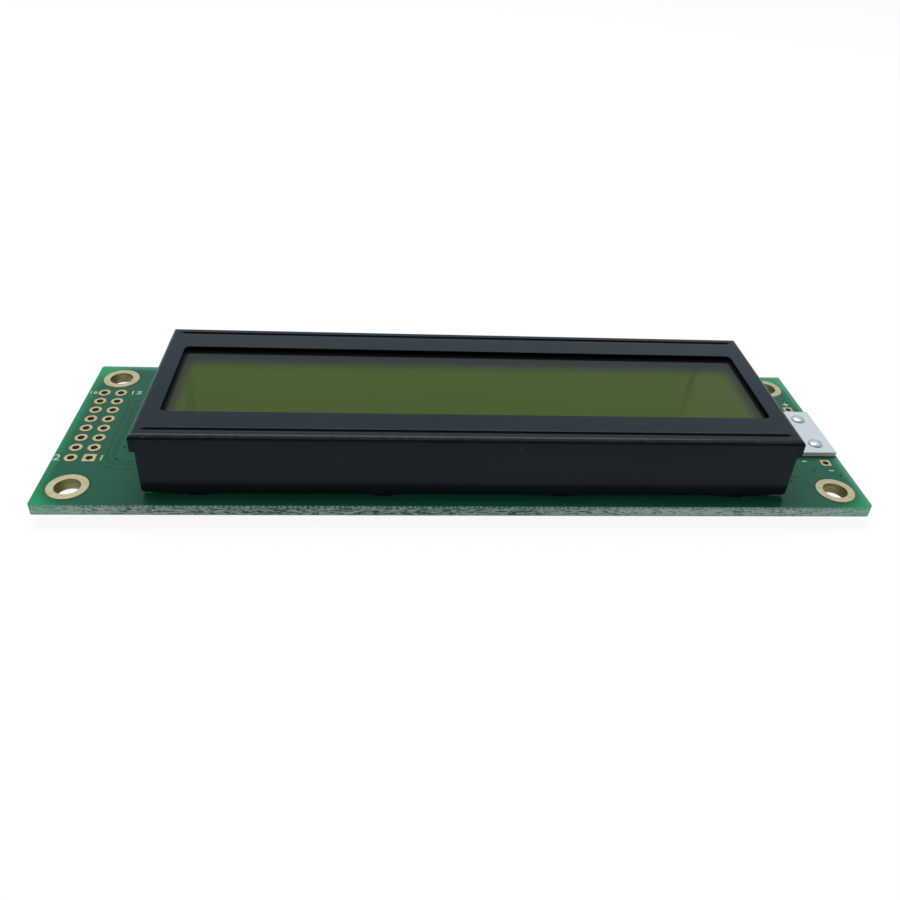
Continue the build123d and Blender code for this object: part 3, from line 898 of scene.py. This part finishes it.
def press_lines(name, lines, width, level, material):
    """Smooth flat lines through points in mm, all in one piece, half sunk in the face at this level."""
    curve = bpy.data.curves.new(name, "CURVE")
    curve.dimensions = "3D"
    curve.bevel_depth = width / 2 * MM
    curve.bevel_resolution = 1
    curve.resolution_u = 6
    curve.use_fill_caps = True
    for points in lines:
        spline = curve.splines.new("NURBS")
        spline.points.add(len(points) - 1)
        for point, (x, y) in zip(spline.points, points):
            point.co = (x * MM, y * MM, 0, 1)
        spline.order_u = 3
        spline.use_endpoint_u = True
    flat = Matrix.Diagonal((1, 1, 2 * line_rise / width, 1))
    mesh = mesh_from(name, curve, flat, Matrix.Translation(Vector((0, 0, level)) * MM))
    finish_piece(name, mesh, 60, material, "board")


press_lines("sunk_lines", LINES, line_width, board_top, sunk_lacquer)

# %% [markdown]
# ## Tracks on the underside
#
# Below the board, bundles of tracks join the chips under the resin caps, and others leave each cap towards
# the two long edges, where they pass through the board to the rubber strips. Each track stands a hair proud
# under the lacquer. They are drawn as the same pressed lines, side by side, with a dot where each goes
# through the board.

# %% Underside tracks
track_lacquer = make_mottled("track_lacquer", rgb(34, 112, 78), rgb(40, 120, 86), 1.0, 0.16, 0.2, 0.0, 0.001)
cap_places = []
for name in CAPS:
    low, high = (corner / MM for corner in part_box(name))
    cap_places.append(((low + high) / 2, (high.x - low.x) / 2))
cap_places.sort(key=lambda cap: cap[0].x)

under_lines, under_dots = [], []
track_width, bundle, bundle_pitch, bundle_start = 0.3, 11, 0.62, 0.6
for (first, first_radius), (second, second_radius) in zip(cap_places, cap_places[1:]):
    for step in range(bundle):
        y = first.y + (step - (bundle - 1) / 2) * bundle_pitch
        start, end = first.x + first_radius * bundle_start, second.x - second_radius * bundle_start
        under_lines.append([(start, y), (end, y)])

chip_low, chip_high = (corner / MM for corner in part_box("clock_resistor"))
chip_clearance = 0.6
chip_left, chip_right = chip_low.x - chip_clearance, chip_high.x + chip_clearance
fan, near_pitch, far_pitch = 10, 0.7, 1.9
fan_start, run_end = 0.7, 11.6
knee_gap, knee_step, slant_run = 0.9, 0.22, 1.4
for middle, radius in cap_places:
    for side in (-1, 1):
        for step in range(fan):
            offset = step - (fan - 1) / 2
            near_x, far_x = middle.x + offset * near_pitch, middle.x + offset * far_pitch
            start, end = middle.y + side * radius * fan_start, middle.y + side * run_end
            knee = middle.y + side * (radius + knee_gap + knee_step * (fan / 2 - abs(offset)))
            slant_end = knee + side * slant_run
            crosses_chip = side > 0 and any(chip_left < reach < chip_right for reach in (near_x, far_x))
            if not crosses_chip:
                under_lines.append([(near_x, start), (near_x, knee), (far_x, slant_end), (far_x, end)])
                under_dots.append((far_x, end))
press_lines("underside_tracks", under_lines, track_width, board_bottom, track_lacquer)
print("tracks below the board:", len(under_lines))

# %% [markdown]
# ## Plated through holes
#
# Where a track passes from one copper layer to the other, the filled hole shows as a dark dot.

# %% Dots of the plated through holes
hole_dark = make_mottled("filled_hole", rgb(4, 20, 13), rgb(8, 28, 18), 3.0, 0.5, 0.1)
DOTS = [(-48.81, -4.9), (-49.2, -7.84), (52.94, -9.52), (56.51, -10.74), (48.23, -12.26), (57.17, 7.64)]
dot_slope = 0.06
dot_mesh = bmesh.new()
for places, level, radius, rise, steps in (
    (DOTS, board_top, 0.2, 0.02, 20), (under_dots, board_bottom, 0.28, -0.03, 16),
):
    for place in places:
        profile = [(0, level), (radius, level), (radius - dot_slope, level + rise), (0, level + rise)]
        turn_profile(dot_mesh, place, profile, steps)
finish_piece("filled_holes", dot_mesh, 50, hole_dark, "board")
